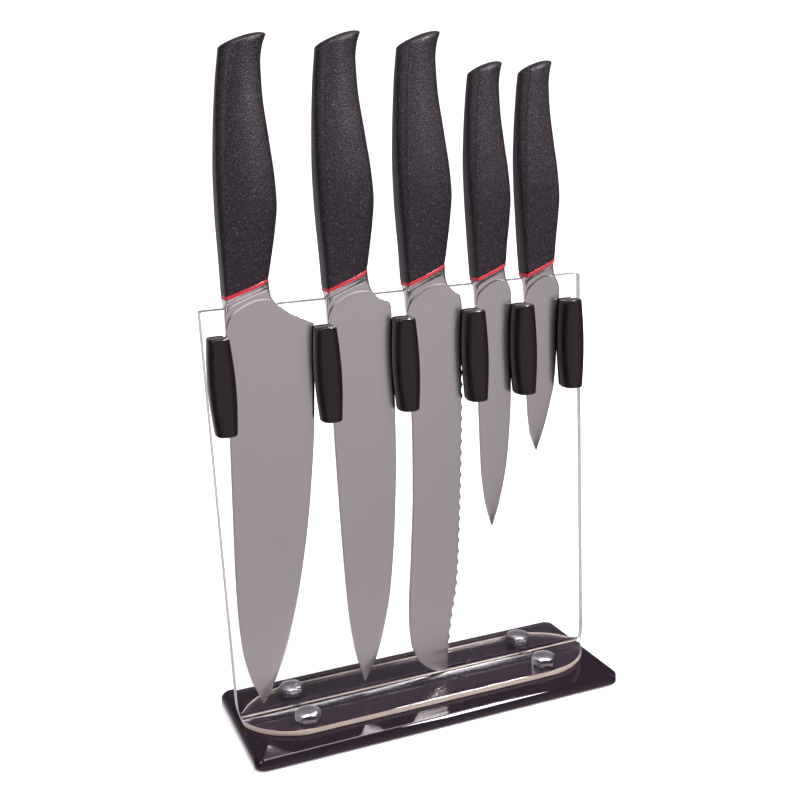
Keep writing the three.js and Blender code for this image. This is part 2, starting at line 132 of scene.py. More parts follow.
def add_world():
    """Bright in front and below, darker up high and out to the sides, so that rounded edges read."""
    world = bpy.data.worlds.new("studio")
    world.use_nodes = True
    tree = world.node_tree
    background = tree.nodes["Background"]
    coordinate = tree.nodes.new("ShaderNodeTexCoord")
    split = tree.nodes.new("ShaderNodeSeparateXYZ")
    tree.links.new(coordinate.outputs["Generated"], split.inputs[0])
    height = map_range(tree, split.outputs["Z"], (-1, 1))
    ramp = tree.nodes.new("ShaderNodeValToRGB")
    levels = ramp.color_ramp.elements
    for z, _ in WORLD_LEVELS[1:-1]:
        levels.new((z + 1) / 2)
    for element, (_, bright) in zip(levels, WORLD_LEVELS):
        element.color = (bright, bright * 0.93, bright * 0.98, 1)
    tree.links.new(height, ramp.inputs["Fac"])
    sideways = tree.nodes.new("ShaderNodeMath")
    sideways.operation = "ABSOLUTE"
    tree.links.new(split.outputs["X"], sideways.inputs[0])
    fade = map_range(tree, sideways.outputs["Value"], SIDE_FADE, (1, SIDE_LIGHT), "SMOOTHSTEP")
    tree.links.new(ramp.outputs["Color"], background.inputs["Color"])
    behind = map_range(tree, split.outputs["Y"], BEHIND_FADE, (0, 1), "SMOOTHSTEP")
    low = map_range(tree, split.outputs["Z"], LOW_FADE, (0, 1), "SMOOTHSTEP")
    both = tree.nodes.new("ShaderNodeMath")
    both.operation = "MULTIPLY"
    tree.links.new(behind, both.inputs[0])
    tree.links.new(low, both.inputs[1])
    total = tree.nodes.new("ShaderNodeMath")
    total.operation = "MULTIPLY_ADD"
    tree.links.new(both.outputs["Value"], total.inputs[0])
    total.inputs[1].default_value = BACK_LIGHT
    tree.links.new(fade, total.inputs[2])
    tree.links.new(total.outputs["Value"], background.inputs["Strength"])
    bpy.context.scene.world = world


def let_reflections_through(material):
    """Rays that a piece has reflected pass this stage surface, also when clear acrylic lies between."""
    tree = material.node_tree
    path = tree.nodes.new("ShaderNodeLightPath")
    reflected = tree.nodes.new("ShaderNodeMath")
    reflected.operation = "GREATER_THAN"
    reflected.inputs[1].default_value = 0.5
    tree.links.new(path.outputs["Glossy Depth"], reflected.inputs[0])
    clear = tree.nodes.new("ShaderNodeBsdfTransparent")
    mix = tree.nodes.new("ShaderNodeMixShader")
    tree.links.new(reflected.outputs["Value"], mix.inputs[0])
    tree.links.new(tree.nodes["Principled BSDF"].outputs["BSDF"], mix.inputs[1])
    tree.links.new(clear.outputs["BSDF"], mix.inputs[2])
    tree.links.new(mix.outputs["Shader"], tree.nodes["Material Output"].inputs["Surface"])


def add_floor():
    """A white floor that glows more with distance, so it runs into the backdrop without a line."""
    half = FLOOR_HALF
    mesh = bpy.data.meshes.new("floor")
    corners = [(-half, -half, 0), (half, -half, 0), (half, half, 0), (-half, half, 0)]
    mesh.from_pydata(corners, [], [(0, 1, 2, 3)])
    look = Look("floor", (0.92, 0.905, 0.915), 0.9)
    look.shader.inputs["Specular IOR Level"].default_value = 0
    look.shader.inputs["Emission Color"].default_value = (1, 0.99, 0.995, 1)
    distance = look.tree.nodes.new("ShaderNodeVectorMath")
    distance.operation = "LENGTH"
    look.link(look.place, distance.inputs[0])
    glow = look.ranged(distance.outputs["Value"], FLOOR_GLOW_NEAR, FLOOR_GLOW_FAR, 0.1, 0.7)
    look.link(glow, look.shader.inputs["Emission Strength"])
    let_reflections_through(look.material)
    mesh.materials.append(look.material)
    floor = link(bpy.data.objects.new("floor", mesh))
    floor.visible_glossy = False


def add_backdrop():
    """A white dome that is seen directly and through the clear panel, but lights nothing."""
    mesh = bpy.data.meshes.new("backdrop")
    dome = bmesh.new()
    bmesh.ops.create_uvsphere(dome, u_segments=32, v_segments=16, radius=BACKDROP_RADIUS)
    dome.to_mesh(mesh)
    dome.free()
    material = bpy.data.materials.new("backdrop")
    material.use_nodes = True
    shader = material.node_tree.nodes["Principled BSDF"]
    shader.inputs["Base Color"].default_value = (0, 0, 0, 1)
    shader.inputs["Specular IOR Level"].default_value = 0
    shader.inputs["Emission Color"].default_value = (1, 1, 1, 1)
    shader.inputs["Emission Strength"].default_value = BACKDROP_GLOW
    let_reflections_through(material)
    mesh.materials.append(material)
    backdrop = link(bpy.data.objects.new("backdrop", mesh))
    backdrop.visible_glossy = False
    backdrop.visible_diffuse = False
    backdrop.visible_shadow = False


# ---------------------------------------------------------------- materials

class Look:
    """A node material under construction: a Principled shader and helpers that feed it."""

    def __init__(self, name, color, roughness, metallic=0.0):
        self.material = bpy.data.materials.new(name)
        self.material.use_nodes = True
        self.tree = self.material.node_tree
        self.shader = self.tree.nodes["Principled BSDF"]
        self.shader.inputs["Base Color"].default_value = (*color, 1)
        self.shader.inputs["Roughness"].default_value = roughness
        self.shader.inputs["Metallic"].default_value = metallic
        self.place = self.tree.nodes.new("ShaderNodeTexCoord").outputs["Object"]

    def link(self, source, target):
        self.tree.links.new(source, target)

    def stretched(self, scale):
        """Object coordinates in metres, multiplied by a scale for each axis."""
        mapping = self.tree.nodes.new("ShaderNodeMapping")
        mapping.inputs["Scale"].default_value = scale
        self.link(self.place, mapping.inputs["Vector"])
        return mapping.outputs["Vector"]

    def noise(self, scale, detail=3.0, stretch=(1, 1, 1)):
        texture = self.tree.nodes.new("ShaderNodeTexNoise")
        texture.inputs["Scale"].default_value = scale
        texture.inputs["Detail"].default_value = detail
        self.link(self.stretched(stretch), texture.inputs["Vector"])
        return texture.outputs["Fac"]

    def cells(self, scale):
        texture = self.tree.nodes.new("ShaderNodeTexVoronoi")
        texture.inputs["Scale"].default_value = scale
        self.link(self.place, texture.inputs["Vector"])
        return texture.outputs["Distance"]

    def ranged(self, value, low, high, from_low=0.3, from_high=0.7):
        node = self.tree.nodes.new("ShaderNodeMapRange")
        node.inputs["From Min"].default_value = from_low
        node.inputs["From Max"].default_value = from_high
        node.inputs["To Min"].default_value = low
        node.inputs["To Max"].default_value = high
        self.link(value, node.inputs["Value"])
        return node.outputs["Result"]

    def mixed(self, factor, low, high):
        node = self.tree.nodes.new("ShaderNodeMix")
        node.data_type = "RGBA"
        node.inputs["A"].default_value = (*low, 1)
        node.inputs["B"].default_value = (*high, 1)
        self.link(factor, node.inputs["Factor"])
        return node.outputs["Result"]

    def color(self, source):
        self.link(source, self.shader.inputs["Base Color"])

    def roughness(self, source):
        self.link(source, self.shader.inputs["Roughness"])

    def bump(self, height, strength, distance, after=None):
        node = self.tree.nodes.new("ShaderNodeBump")
        node.inputs["Strength"].default_value = strength
        node.inputs["Distance"].default_value = distance
        self.link(height, node.inputs["Height"])
        if after is not None:
            self.link(after, node.inputs["Normal"])
        self.link(node.outputs["Normal"], self.shader.inputs["Normal"])
        return node.outputs["Normal"]


def satin_steel():
    look = Look("satin_steel", (0.74, 0.69, 0.68), 0.26, 1.0)
    grinding = look.noise(90, 5, (40, 1, 0.4))
    look.color(look.mixed(look.ranged(grinding, 0, 1), (0.725, 0.68, 0.665), (0.75, 0.705, 0.69)))
    return look.material


def edge_steel():
    look = Look("edge_steel", (0.78, 0.74, 0.73), 0.2, 1.0)
    lines = look.noise(160, 3, (1, 1, 14))
    look.roughness(look.ranged(lines, 0.16, 0.26))
    look.bump(lines, 0.1, 0.00003)
    return look.material


def polished_steel():
    look = Look("polished_steel", (0.82, 0.78, 0.77), 0.14, 1.0)
    wipe = look.noise(70, 3, (1, 1, 6))
    look.roughness(look.ranged(wipe, 0.1, 0.2))
    look.bump(wipe, 0.05, 0.00004)
    return look.material


def handle_plastic():
    look = Look("handle_plastic", (0.009, 0.005, 0.009), 0.38)
    grain = look.noise(1700, 2)
    pits = look.cells(1100)
    specks = look.ranged(look.noise(1500, 1), 0, 1, 0.54, 0.74)
    look.color(look.mixed(specks, (0.008, 0.0045, 0.008), (0.036, 0.027, 0.034)))
    look.roughness(look.ranged(grain, 0.3, 0.48))
    soft = look.bump(grain, 0.6, 0.00018)
    look.bump(pits, 0.35, 0.0001, after=soft)
    look.shader.inputs["Specular IOR Level"].default_value = 0.26
    return look.material


def red_plastic():
    look = Look("red_plastic", (0.38, 0.008, 0.018), 0.34)
    cloud = look.ranged(look.noise(300, 2), 0, 1)
    look.color(look.mixed(cloud, (0.25, 0.006, 0.013), (0.3, 0.009, 0.017)))
    look.bump(look.noise(900, 2), 0.1, 0.00004)
    return look.material


def bar_plastic():
    look = Look("bar_plastic", (0.006, 0.003, 0.005), 0.12)
    look.roughness(look.ranged(look.noise(120, 3), 0.08, 0.16))
    look.bump(look.noise(260, 2, (1, 1, 0.25)), 0.06, 0.00006)
    look.shader.inputs["Specular IOR Level"].default_value = 0.45
    return look.material


ACRYLIC_SHEEN = (0.9, 0.8, 0.92, 1)    # reflections in the acrylic lean to lilac


def base_acrylic():
    look = Look("base_acrylic", (0.008, 0.004, 0.008), 0.03)
    look.roughness(look.ranged(look.noise(240, 4), 0.0, 0.03, 0.6, 0.8))
    look.shader.inputs["IOR"].default_value = 1.49
    look.shader.inputs["Specular Tint"].default_value = ACRYLIC_SHEEN
    return look.material


def clear_acrylic():
    look = Look("clear_acrylic", (0.99, 0.98, 0.99), 0.0)
    look.shader.inputs["Transmission Weight"].default_value = 1.0
    look.shader.inputs["IOR"].default_value = 1.49
    look.roughness(look.ranged(look.noise(300, 4), 0.0, 0.02, 0.55, 0.75))
    return look.material


def acrylic_edge(name, color):
    """Sawn and flame-polished edges, partly clear and partly milky as the acrylic itself is, each given
    its own colour as painted light or painted shade: bright where the edge shows gathered light, dark
    where it shows a dark line.
    """
    look = Look(name, color, 0.25)
    look.shader.inputs["IOR"].default_value = 1.49
    look.shader.inputs["Transmission Weight"].default_value = 0.35
    look.bump(look.noise(500, 2, (1, 1, 0.3)), 0.1, 0.00005)
    return look.material


# painted light: the lilac-grey colour of the end edges stands in for the light they show, not a colour
# of the acrylic
def end_edge_painted_light():
    return acrylic_edge("end_edge_painted_light", (0.56, 0.51, 0.56))


# painted light: the cream colour of the flange's front edge stands in for a bright line of gathered
# light
def flange_edge_painted_light():
    return acrylic_edge("flange_edge_painted_light", (0.72, 0.58, 0.5))


# painted shade: the dark colour of the chamfers stands in for the thin dark lines along the sheet's
# edges
def arris_painted_shade():
    return acrylic_edge("arris_painted_shade", (0.3, 0.25, 0.31))


def chrome():
    look = Look("chrome", (0.9, 0.88, 0.92), 0.12, 1.0)
    look.roughness(look.ranged(look.noise(400, 3), 0.08, 0.2))
    look.bump(look.noise(700, 2), 0.08, 0.00005)
    return look.material


def brass():
    look = Look("brass", (0.62, 0.42, 0.16), 0.3, 1.0)
    look.roughness(look.ranged(look.noise(300, 3, (1, 1, 8)), 0.25, 0.4))
    return look.material


def rubber():
    look = Look("rubber", (0.02, 0.02, 0.02), 0.8)
    look.bump(look.noise(900, 3), 0.3, 0.0001)
    return look.material


def nickel():
    look = Look("nickel", (0.5, 0.48, 0.46), 0.25, 1.0)
    look.roughness(look.ranged(look.noise(500, 3), 0.2, 0.34))
    return look.material


# ---------------------------------------------------------------- mesh helpers

def ring_faces(rings, count, first=0):
    """Quads between consecutive rings of count points, and a cap at each end."""
    faces = []
    for k in range(rings - 1):
        for i in range(count):
            a = first + k * count + i
            b = first + k * count + (i + 1) % count
            faces.append((a, b, b + count, a + count))
    last = first + (rings - 1) * count
    faces.append(tuple(range(first + count - 1, first - 1, -1)))
    faces.append(tuple(range(last, last + count)))
    return faces


def mesh_from_rings(name, rings):
    mesh = bpy.data.meshes.new(name)
    points = [Vector(p) * MM for ring in rings for p in ring]
    mesh.from_pydata(points, [], ring_faces(len(rings), len(rings[0])))
    return finished(mesh)


def finished(mesh, sharp=32):
    shape = bmesh.new()
    shape.from_mesh(mesh)
    bmesh.ops.remove_doubles(shape, verts=shape.verts, dist=1e-7)
    bmesh.ops.dissolve_degenerate(shape, edges=shape.edges, dist=1e-7)
    bmesh.ops.recalc_face_normals(shape, faces=shape.faces)
    shape.to_mesh(mesh)
    shape.free()
    mesh.polygons.foreach_set("use_smooth", [True] * len(mesh.polygons))
    mesh.set_sharp_from_angle(angle=math.radians(sharp))
    return mesh


def piece(name, mesh, materials, body, slot, *nodes):
    for material in materials:
        mesh.materials.append(material)
    obj = link(bpy.data.objects.new(name, mesh))
    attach(obj, body)
    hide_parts(*nodes)
    return obj


def cylinder_mesh(name, radius, low, high, x, y, sides=48):
    turns = [2 * math.pi * i / sides for i in range(sides)]
    return mesh_from_rings(name, [
        [(x + radius * math.cos(a), y + radius * math.sin(a), z) for a in turns] for z in (low, high)
    ])


def boolean(mesh, tool, operation):
    """The mesh cut by, or joined with, a tool mesh. Both are closed."""
    left = link(bpy.data.objects.new("left", mesh))
    right = link(bpy.data.objects.new("right", tool))
    modifier = left.modifiers.new("join", "BOOLEAN")
    modifier.operation = operation
    modifier.solver = "EXACT"
    modifier.object = right
    evaluated = left.evaluated_get(bpy.context.evaluated_depsgraph_get())
    result = bpy.data.meshes.new_from_object(evaluated)
    bpy.data.objects.remove(left)
    bpy.data.objects.remove(right)
    return finished(result)


def low_high(node):
    """A CAD node's box in millimetres."""
    low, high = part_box(node)
    return low / MM, high / MM


# ---------------------------------------------------------------- base, feet and hardware

CORNERS = ("front_left", "front_right", "rear_left", "rear_right")
BASE_CORNER = 6
BASE_BEVEL = 1.5
EDGE_ROUND = 0.25


def rounded_rectangle(low, high, inset, radius, z, steps=14):
    ring = []
    for sx, sy, start in ((1, 1, 0), (-1, 1, 90), (-1, -1, 180), (1, -1, 270)):
        cx = (high.x if sx > 0 else low.x) - sx * (inset + radius)
        cy = (high.y if sy > 0 else low.y) - sy * (inset + radius)
        for i in range(steps + 1):
            angle = math.radians(start + 90 * i / steps)
            ring.append((cx + radius * math.cos(angle), cy + radius * math.sin(angle), z))
    return ring


BOLT_CHAMFER = 0.5                  # drop of the head's corners below its rim
BOLT_CROWN = 0.55                   # rise of the head's middle above its rim
HEAD_HEIGHT = 5.2
HEAD_TURN = 20                      # degrees the corners are turned away from +X
SHANK_RADIUS = 2.9


def build_base(material):
    low, high = low_high("base_plate")
    side_top = high.z - BASE_BEVEL
    profile = [                     # [inset from the side, height], from the underside up
        (EDGE_ROUND * 2, low.z),
        (EDGE_ROUND * 0.6, low.z + EDGE_ROUND * 0.6),
        (0, low.z + EDGE_ROUND * 2),
        (0, side_top - EDGE_ROUND),
        (EDGE_ROUND * 0.3, side_top),
        (EDGE_ROUND, side_top + EDGE_ROUND),
        (BASE_BEVEL - EDGE_ROUND, high.z - EDGE_ROUND),
        (BASE_BEVEL, high.z - EDGE_ROUND * 0.25),
        (BASE_BEVEL + EDGE_ROUND * 1.2, high.z),
    ]
    rings = [
        rounded_rectangle(low, high, inset, BASE_CORNER - inset, z) for inset, z in profile
    ]
    mesh = mesh_from_rings("base", rings)
    for corner in CORNERS:
        seat_low, seat_high = low_high(f"threaded_insert_{corner}")
        middle = (seat_low + seat_high) / 2
        radius = (seat_high.x - seat_low.x) / 2 + 0.15
        pocket = cylinder_mesh("pocket", radius, low.z - 1, seat_high.z + 0.15, middle.x, middle.y)
        hole = cylinder_mesh("hole", SHANK_RADIUS + 0.2, low.z, high.z + 1, middle.x, middle.y)
        for tool in (pocket, hole):
            mesh = boolean(mesh, tool, "DIFFERENCE")
    piece("base", mesh, [material], "stand", "base", "base_plate")


def build_bolt(corner, material):
    """A hexagon head with chamfered corners and a low crown, and its shank."""
    low, high = low_high(f"bolt_{corner}")
    middle = (low + high) / 2
    seat = high.z - HEAD_HEIGHT
    flat = min(high.y - low.y, high.x - low.x) / 2
    sides = 96
    turns = [2 * math.pi * i / sides for i in range(sides)]

    def reach(angle):
        third = math.radians(60)
        return flat / math.cos((angle + third / 2) % third - third / 2)

    corner_reach = flat / math.cos(math.radians(30))

    def ring(radius_of, height_of):
        return [
            (
                middle.x + radius_of(a) * math.cos(a + math.radians(HEAD_TURN)),
                middle.y + radius_of(a) * math.sin(a + math.radians(HEAD_TURN)),
                height_of(a),
            )
            for a in turns
        ]

    rim = high.z - BOLT_CROWN

    def shoulder(angle):
        over = max(0, reach(angle) - flat * 0.97) / (corner_reach - flat * 0.97)
        return rim - BOLT_CHAMFER * over

    rings = [
        ring(lambda a: 0.4, lambda a: low.z),
        ring(lambda a: SHANK_RADIUS - 0.4, lambda a: low.z),
        ring(lambda a: SHANK_RADIUS, lambda a: low.z + 0.4),
        ring(lambda a: SHANK_RADIUS, lambda a: seat - 0.05),
        ring(lambda a: flat * 0.93, lambda a: seat),
        ring(lambda a: flat * 0.95, lambda a: seat + 0.12),
        ring(lambda a: reach(a) - 0.1, lambda a: seat + 0.14),
        ring(lambda a: reach(a), lambda a: seat + 0.3),
        ring(lambda a: reach(a), lambda a: shoulder(a) - 0.12),
        ring(lambda a: reach(a) - 0.1, lambda a: shoulder(a)),
        ring(lambda a: flat * 0.97, lambda a: rim),
        ring(lambda a: flat * 0.9, lambda a: rim + 0.04),
    ]
    for share in (0.84, 0.7, 0.5, 0.3, 0.1):
        rings.append(ring(
            lambda a, s=share: flat * s,
            lambda a, s=share: rim + BOLT_CROWN * math.sqrt(1 - (s / 0.93) ** 2),
        ))
    mesh = mesh_from_rings(f"bolt_{corner}_bright", rings)
    mesh.set_sharp_from_angle(angle=math.radians(25))
    piece(f"bolt_{corner}_bright", mesh, [material], "stand", "chrome", f"bolt_{corner}")


def dress_hardware(materials):
    """CAD nodes whose shape is right get their material and a fine bevel."""
    chosen = {
        "foot": materials["rubber"],
        "threaded_insert": materials["brass"],
        "bar_magnet": materials["nickel"],
    }
    for name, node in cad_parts.items():
        for start, material in chosen.items():
            if name.startswith(start):
                node.data.materials.clear()
                node.data.materials.append(material)
                bevel = node.modifiers.new("rounded", "BEVEL")
                bevel.width = 0.15 * MM
                bevel.segments = 2
                bevel.limit_method = "ANGLE"
                bevel.angle_limit = math.radians(40)


# ---------------------------------------------------------------- bent acrylic sheets

FOOT_CORNER = 35
TOP_CORNER = 1.2
SHEET = 3
BEND = 3
POLISH = 0.22                       # width of the polished edges' chamfer


def corner_inset(distance, radius):
    if distance >= radius:
        return 0
    distance = max(distance, 0)
    return radius - math.sqrt(radius ** 2 - (radius - distance) ** 2)


BOLT_HOLE = 3.3                     # radius of the holes in the flanges


def is_arris(face, top):
    """A chamfer along the ends or the top edge: its normal lies between two of the main faces."""
    between = sorted(abs(v) for v in face.normal)[1] > 0.5
    return between and (abs(face.normal.x) > 0.5 or face.center.z / MM > top - POLISH)


def build_sheet(side, node, materials):
    """One sheet, followed from the flange's edge round the bend and up to the top edge."""
    low, high = low_high(node)
    face = abs(low.y if side < 0 else high.y)          # the flange's outer edge
    hidden = min(abs(low.y), abs(high.y))              # the face against the other sheet
    upright = hidden + SHEET
    flange_top = low.z + SHEET
    half = (high.x - low.x) / 2
    bend_y, bend_z = upright + BEND, flange_top + BEND
    flat = face - bend_y
    arc = math.pi / 2 * (BEND + SHEET / 2)
    rise = high.z - bend_z
    total = flat + arc + rise

    def station(along):
        """Visible-face point, and the unit direction from it into the sheet, at a length along it."""
        if along <= flat:
            return (face - along, flange_top), (0, -1)
        if along <= flat + arc:
            angle = math.pi / 2 * (along - flat) / arc
            out = (math.sin(angle), math.cos(angle))
            return (bend_y - BEND * out[0], bend_z - BEND * out[1]), (-out[0], -out[1])
        return (upright, bend_z + along - flat - arc), (-1, 0)

    curve = [FOOT_CORNER * (1 - math.cos(math.radians(90 * i / 26))) for i in range(27)]
    bends = [flat + arc * i / 16 for i in range(17)]
    top = [total - TOP_CORNER * (1 - math.sin(math.radians(90 * i / 5))) for i in range(6)]
    steps = sorted(set(round(v, 5) for v in curve + bends + top))
    steps = [v for v in steps if POLISH < v < total - POLISH]
    rings = []

    def add_ring(along, squeeze, inset):
        (y, z), (dy, dz) = station(along)
        width = half - corner_inset(along, FOOT_CORNER) - corner_inset(total - along, TOP_CORNER) - inset
        depths = ((squeeze, width - POLISH), (squeeze + POLISH, width),
                  (SHEET - squeeze - POLISH, width), (SHEET - squeeze, width - POLISH))
        ring = [(x, side * (y + dy * d), z + dz * d) for d, x in depths]
        ring += [(-x, side * (y + dy * d), z + dz * d) for d, x in reversed(depths)]
        rings.append(ring)

    add_ring(0.0005, POLISH, 0)
    for along in [POLISH] + steps + [total - POLISH]:
        add_ring(along, 0, 0)
    add_ring(total - 0.0005, POLISH, 0)
    mesh = mesh_from_rings(f"{node}_clear", rings)
    holes = []
    for sx in ("left", "right"):
        bolt_low, bolt_high = low_high(f"bolt_{'front' if side < 0 else 'rear'}_{sx}")
        middle = (bolt_low + bolt_high) / 2
        holes.append(middle.xy)
        tool = cylinder_mesh("hole", BOLT_HOLE, low.z - 1, flange_top + 1, middle.x, middle.y)
        mesh = boolean(mesh, tool, "DIFFERENCE")
    # The flange edge, the end edges and the chamfers get copies of one acrylic edge in painted light and
    # painted shade.
    for face in mesh.polygons:
        in_bolt_hole = any((face.center.xy / MM - hole).length < BOLT_HOLE + 1 for hole in holes)
        on_flange = face.center.z / MM < flange_top + POLISH
        if in_bolt_hole or abs(face.normal.z) > 0.9:
            continue
        if on_flange and abs(face.normal.z) < 0.3:
            face.material_index = 2
        elif abs(face.normal.x) > 0.8:
            face.material_index = 1
        elif is_arris(face, high.z):
            face.material_index = 3
    looks = [materials[look] for look in ("clear_acrylic", "end_edge_painted_light", "flange_edge_painted_light", "arris_painted_shade")]
    obj = piece(f"{node}_clear", mesh, looks, "stand", "acrylic", node)
    obj.visible_shadow = False


# ---------------------------------------------------------------- magnetic bars

BAR_HALF_DEPTH = 6.6
BAR_MIDDLE_Y = 9.9
BAR_END_HALF = 5.3
BAR_MID_HALF = 6.7
BAR_ROUND = 1.0
BAR_POWER = 2.8
SLOT_BACK, SLOT_FRONT = 4.8, 8.1
LIP = 0.3                           # rounding of the edges along the slots


def bar_levels(height):
    """[height above the bottom, inset of the outline] up the barrel, with rounded rims."""
    turns = [math.radians(90 * i / 6) for i in range(7)]
    rim = [(BAR_ROUND * (1 - math.sin(a)), BAR_ROUND * (1 - math.cos(a))) for a in reversed(turns)]
    belly = [(BAR_ROUND + (height - 2 * BAR_ROUND) * i / 20, 0) for i in range(1, 20)]
    return rim + belly + [(height - up, inset) for up, inset in reversed(rim)]


def bar_section(x, z, up, height, inset, front):
    """The front or rear part of the barrel's outline at one height, closed by its flat side."""
    belly = math.sin(math.pi * up / height)
    half_width = BAR_END_HALF + (BAR_MID_HALF - BAR_END_HALF) * belly - inset
    half_depth = BAR_HALF_DEPTH - inset / 2
    limit = SLOT_FRONT if front else SLOT_BACK
    reach = (limit - BAR_MIDDLE_Y) / half_depth
    edge = (1 - abs(reach) ** BAR_POWER) ** (1 / BAR_POWER)
    start = math.atan2(
        math.copysign(abs(reach) ** (BAR_POWER / 2), reach), edge ** (BAR_POWER / 2)
    )
    end = math.pi - start
    if not front:
        end -= 2 * math.pi
    steps = 30
    ring = []
    for i in range(steps + 1):
        angle = start + (end - start) * i / steps
        c, s = math.cos(angle), math.sin(angle)
        across = math.copysign(abs(c) ** (2 / BAR_POWER), c)
        out = math.copysign(abs(s) ** (2 / BAR_POWER), s)
        ring.append((x + half_width * across, -BAR_MIDDLE_Y - half_depth * out, z + up))
    flat = -limit
    lean = LIP if front else -LIP
    first, last = ring[0], ring[-1]
    ring[0] = (first[0], first[1] - lean, first[2])
    ring[-1] = (last[0], last[1] - lean, last[2])
    ring.append((last[0] + math.copysign(LIP, x - last[0]), flat, last[2]))
    ring.append((first[0] + math.copysign(LIP, x - first[0]), flat, first[2]))
    return ring


def build_bar(number, material):
    cover_low, cover_high = low_high(f"bar_cover_{number}")
    x = (cover_low.x + cover_high.x) / 2
    z, height = cover_low.z, cover_high.z - cover_low.z
    for part, front, node in (("front", True, "bar_cover"), ("rear", False, "bar_core")):
        rings = [
            bar_section(x, z, up, height, inset, front) for up, inset in bar_levels(height)
        ]
        mesh = mesh_from_rings(f"bar_{number}_{part}", rings)
        if not front:
            mesh = boolean(mesh, web_mesh(number), "UNION")
        piece(f"bar_{number}_{part}", mesh, [material], "stand", "bar", f"{node}_{number}")


def web_mesh(number):
    """The web between the two slots, up to the magnet that it holds."""
    magnet_low, magnet_high = low_high(f"bar_magnet_{number}")
    margin = 0.7
    low = Vector((magnet_low.x - margin, magnet_high.y + 0.2, magnet_low.z - margin))
    high = Vector((magnet_high.x + margin, -SLOT_BACK + 1, magnet_high.z + margin))
    corners = ((low.x, low.y), (high.x, low.y), (high.x, high.y), (low.x, high.y))
    return mesh_from_rings("web", [[(x, y, z) for x, y in corners] for z in (low.z, high.z)])


# ---------------------------------------------------------------- knives

# A knife is drawn hanging: tip down, spine on the left, cutting edge on the right. Its own origin
# is where the red ring meets the spine side of the handle. Outlines are (x, z) points, tip first.

BLADE_Y = -6.4
RING_HEIGHT = 1.6
SEAM = 0.2

LARGE_HANDLE = {
    "spine_side": [(0.5, 0.6), (0, 15), (-1, 39), (-1.2, 55), (-0.6, 73), (1, 95), (3, 111)],
    "edge_side": [(22.7, 8.6), (24.6, 19), (26.6, 31), (27.8, 43), (27.2, 54), (25, 72),
                  (22.4, 94), (22.1, 106), (23.1, 113), (25, 118)],
    "half_thickness": [6.6, 7.4, 8.2, 8.6, 8.2, 7.6, 7.2, 7.4],
    "flare": 6,                         # how late the bolster swells, so that it clears the upright
}

SMALL_HANDLE = {
    "spine_side": [(0.5, 0.6), (-0.6, 18), (-1.7, 42), (-2.1, 57), (-1.6, 72), (0, 92), (0.9, 99)],
    "edge_side": [(18.8, 7.5), (19.6, 16), (21.2, 29), (22, 39), (21, 53), (19.2, 66), (17.2, 84),
                  (16.9, 94), (17.6, 100), (18.8, 104.5)],
    "half_thickness": [5.8, 6.4, 7.1, 7.5, 7.2, 6.8, 6.5, 6.6],
    "flare": 9,
}

KNIVES = [
    {
        "name": "chef", "place": (-92.6, 231.3), "tilt": 2.9, "handle": LARGE_HANDLE,
        "thickness": 2.4, "plunge": (-10.6, -2.6), "slant_from": -24, "heel": -15,
        "spine": [(13.7, -212), (10.5, -205), (7.1, -196.5), (3.6, -181), (1.8, -158), (1.2, -128),
                  (1.2, -60), (1.2, -12), (0.8, -1)],
        "edge": [(14, -212), (17.6, -205.5), (20.5, -199), (27.1, -181), (35.5, -145), (41.3, -104),
                 (44.4, -62), (45.2, -15), (39, -11.6), (32.6, -8.4), (27.2, -4.6), (24, -0.5),
                 (22.6, 7.5)],
    },
    {
        "name": "slicer", "place": (-42.3, 230.3), "tilt": 0.5, "handle": LARGE_HANDLE,
        "thickness": 2.2, "plunge": (-10, -3.6), "slant_from": -22, "heel": -12.5,
        "spine": [(10.5, -211.3), (8.4, -203), (5.7, -191), (3.6, -170), (2.4, -140), (1.6, -100),
                  (1.2, -60), (1.2, -12), (0.8, -1)],
        "edge": [(10.9, -211.3), (14.6, -205.5), (18.2, -198), (23.2, -182), (27.6, -162),
                 (32, -123), (34.4, -82), (34.9, -50), (35, -12.5), (34.2, -9.4), (28, -6),
                 (24.6, -1.5), (22.6, 7.5)],
    },
    {
        "name": "bread", "place": (-0.6, 229.3), "tilt": 0, "handle": LARGE_HANDLE,
        "thickness": 2.2, "plunge": (-10.3, -3), "slant_from": -22, "heel": -14.7,
        "scallop": {"pitch": 6.1, "depth": 1, "from": -208, "to": -24},
        "spine": [(13.1, -215.2), (8.6, -213.8), (4.2, -211.4), (0.6, -208), (-2.6, -203),
                  (-5, -195), (-5.7, -184), (-2.6, -143), (0, -110), (1.4, -66), (1.2, -12),
                  (0.8, -1)],
        "edge": [(15, -215.2), (16.4, -208), (17.7, -198), (20.2, -183), (23.7, -165),
                 (26.7, -131), (29, -97), (30.6, -66), (32, -14.7), (31.2, -9), (27, -5.6),
                 (24, -1.5), (22.6, 7.5)],
    },
    {
        "name": "utility", "place": (37.6, 228.2), "tilt": 0.4, "handle": SMALL_HANDLE,
        "thickness": 1.8, "plunge": (-9, -3), "slant_from": -17, "heel": -9,
        "spine": [(7.9, -135.2), (6, -128), (4.1, -119), (2.4, -100), (1.8, -65), (1.3, -9),
                  (0.7, -1)],
        "edge": [(8.2, -135.2), (11, -128), (13.3, -120.6), (16.6, -107), (18.5, -95.4), (21, -66),
                 (22.2, -9), (21.3, -5.4), (19.4, -1.5), (18.3, 6.5)],
    },
    {
        "name": "paring", "place": (66.1, 227.8), "tilt": 0, "handle": SMALL_HANDLE,
        "thickness": 1.8, "plunge": (-9, -3), "slant_from": -17, "heel": -9,
        "spine": [(6.5, -96.3), (5, -92), (3.2, -86), (1.8, -72), (1.4, -50), (1.3, -9), (0.7, -1)],
        "edge": [(6.8, -96.3), (9.4, -90), (12.1, -82.7), (15.6, -71), (18.2, -60.7), (21, -30),
                 (22.2, -9), (21.3, -5.4), (19.4, -1.5), (18.3, 6.5)],
    },
]


